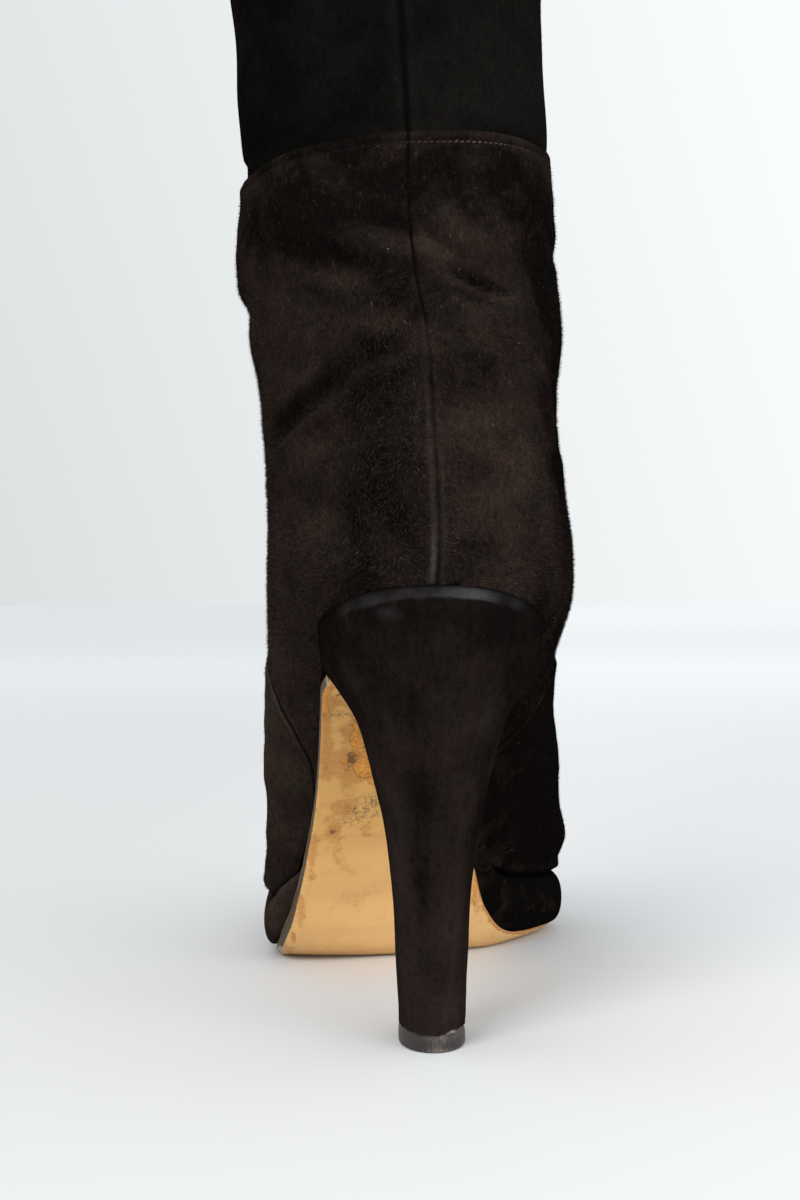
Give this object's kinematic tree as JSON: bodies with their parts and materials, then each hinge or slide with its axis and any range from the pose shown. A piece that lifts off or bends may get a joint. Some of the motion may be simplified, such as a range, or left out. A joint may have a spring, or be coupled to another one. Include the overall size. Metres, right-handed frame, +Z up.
{
  "type": "over-the-knee boot",
  "caption": "Left over-the-knee boot in dark brown suede, with a tall high heel, a covered platform and a leather sole; empty, standing on heel and forefoot.",
  "frame": {"origin": "on the floor, under the middle of the bounding box", "axes": "+Z up along the leg, +Y towards the toe, +X towards the inner side of the foot"},
  "size_m": [0.132, 0.251, 0.6901],
  "materials": {
    "upper_suede": "brushed suede with a short nap",
    "shaft_suede": "soft suede, a shade darker and smoother than the upper",
    "insole_leather": "smooth sock leather",
    "platform_suede": "brushed suede cover",
    "sole_leather": "smooth tan sole leather, worn and stained",
    "heel_suede": "brushed suede cover",
    "tip_rubber": "scuffed dull rubber"
  },
  "bodies": {
    "root": {"upper": "upper_suede", "shaft": "shaft_suede", "insole": "insole_leather", "platform": "platform_suede", "outsole": "sole_leather", "heel": "heel_suede", "heel_tip": "tip_rubber"}
  },
  "joints": []
}
